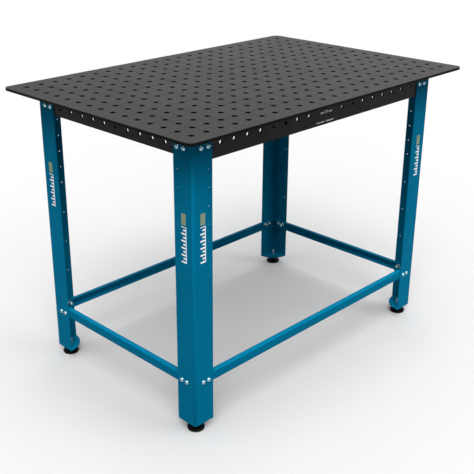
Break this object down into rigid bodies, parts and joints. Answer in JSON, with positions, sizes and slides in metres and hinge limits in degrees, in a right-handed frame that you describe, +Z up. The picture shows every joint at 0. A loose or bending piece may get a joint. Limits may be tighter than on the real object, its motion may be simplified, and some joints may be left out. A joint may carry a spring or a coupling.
{
  "type": "welding table",
  "caption": "Perforated steel worktop with side rails and ribs on bolted angle legs, channel stretchers and screw-down levelling feet.",
  "frame": {"origin": "on the floor under the centre of the worktop", "axes": "+X along the long side, +Y along the short side, +Z up"},
  "size_m": [1.2, 0.8, 0.885],
  "materials": {
    "worktop_steel": "dark grey blackened steel, fine satin grain, engraved grid lines",
    "frame_black": "black mill-scale steel, satin",
    "leg_paint": "teal-blue powder coat, fine orange peel, satin",
    "zinc_fasteners": "bright zinc plate",
    "foot_plastic": "black moulded nylon",
    "foot_rubber": "black rubber"
  },
  "bodies": {
    "root": {"top_plate": "worktop_steel", "rail_front": "frame_black", "rail_rear": "frame_black", "rail_left": "frame_black", "rail_right": "frame_black", "rib_cross_left": "frame_black", "rib_cross_right": "frame_black", "rib_lengthwise": "frame_black", "leg_front_left": "leg_paint", "leg_front_right": "leg_paint", "leg_rear_left": "leg_paint", "leg_rear_right": "leg_paint", "foot_plate_front_left": "leg_paint", "foot_plate_front_right": "leg_paint", "foot_plate_rear_left": "leg_paint", "foot_plate_rear_right": "leg_paint", "stretcher_front": "leg_paint", "stretcher_rear": "leg_paint", "stretcher_left": "leg_paint", "stretcher_right": "leg_paint", "top_bolts": "zinc_fasteners", "top_nuts": "zinc_fasteners", "lower_bolts": "zinc_fasteners", "lower_nuts": "zinc_fasteners", "foot_nuts": "leg_paint"},
    "pad_front_left": {"foot_pad_front_left": "foot_plastic", "foot_sole_front_left": "foot_rubber"},
    "stem_front_left": {"foot_stem_front_left": "zinc_fasteners"},
    "pad_front_right": {"foot_pad_front_right": "foot_plastic", "foot_sole_front_right": "foot_rubber"},
    "stem_front_right": {"foot_stem_front_right": "zinc_fasteners"},
    "pad_rear_left": {"foot_pad_rear_left": "foot_plastic", "foot_sole_rear_left": "foot_rubber"},
    "stem_rear_left": {"foot_stem_rear_left": "zinc_fasteners"},
    "pad_rear_right": {"foot_pad_rear_right": "foot_plastic", "foot_sole_rear_right": "foot_rubber"},
    "stem_rear_right": {"foot_stem_rear_right": "zinc_fasteners"}
  },
  "joints": [
    {"name": "foot_lift_front_left", "type": "slide", "parent": "root", "child": "pad_front_left", "axis": [0, 0, 1], "range_m": [-0.02, 0.0015]},
    {"name": "foot_turn_front_left", "type": "hinge", "parent": "pad_front_left", "child": "stem_front_left", "pos_m": [-0.5, -0.3, 0.03], "axis": [0, 0, 1], "range_deg": [-4115, 309]},
    {"name": "foot_lift_front_right", "type": "slide", "parent": "root", "child": "pad_front_right", "axis": [0, 0, 1], "range_m": [-0.02, 0.0015]},
    {"name": "foot_turn_front_right", "type": "hinge", "parent": "pad_front_right", "child": "stem_front_right", "pos_m": [0.5, -0.3, 0.03], "axis": [0, 0, 1], "range_deg": [-4115, 309]},
    {"name": "foot_lift_rear_left", "type": "slide", "parent": "root", "child": "pad_rear_left", "axis": [0, 0, 1], "range_m": [-0.02, 0.0015]},
    {"name": "foot_turn_rear_left", "type": "hinge", "parent": "pad_rear_left", "child": "stem_rear_left", "pos_m": [-0.5, 0.3, 0.03], "axis": [0, 0, 1], "range_deg": [-4115, 309]},
    {"name": "foot_lift_rear_right", "type": "slide", "parent": "root", "child": "pad_rear_right", "axis": [0, 0, 1], "range_m": [-0.02, 0.0015]},
    {"name": "foot_turn_rear_right", "type": "hinge", "parent": "pad_rear_right", "child": "stem_rear_right", "pos_m": [0.5, 0.3, 0.03], "axis": [0, 0, 1], "range_deg": [-4115, 309]}
  ],
  "couplings": [
    {"joint": "foot_turn_front_left", "follows": "foot_lift_front_left", "rad_per_m": 3590.4},
    {"joint": "foot_turn_front_right", "follows": "foot_lift_front_right", "rad_per_m": 3590.4},
    {"joint": "foot_turn_rear_left", "follows": "foot_lift_rear_left", "rad_per_m": 3590.4},
    {"joint": "foot_turn_rear_right", "follows": "foot_lift_rear_right", "rad_per_m": 3590.4}
  ]
}
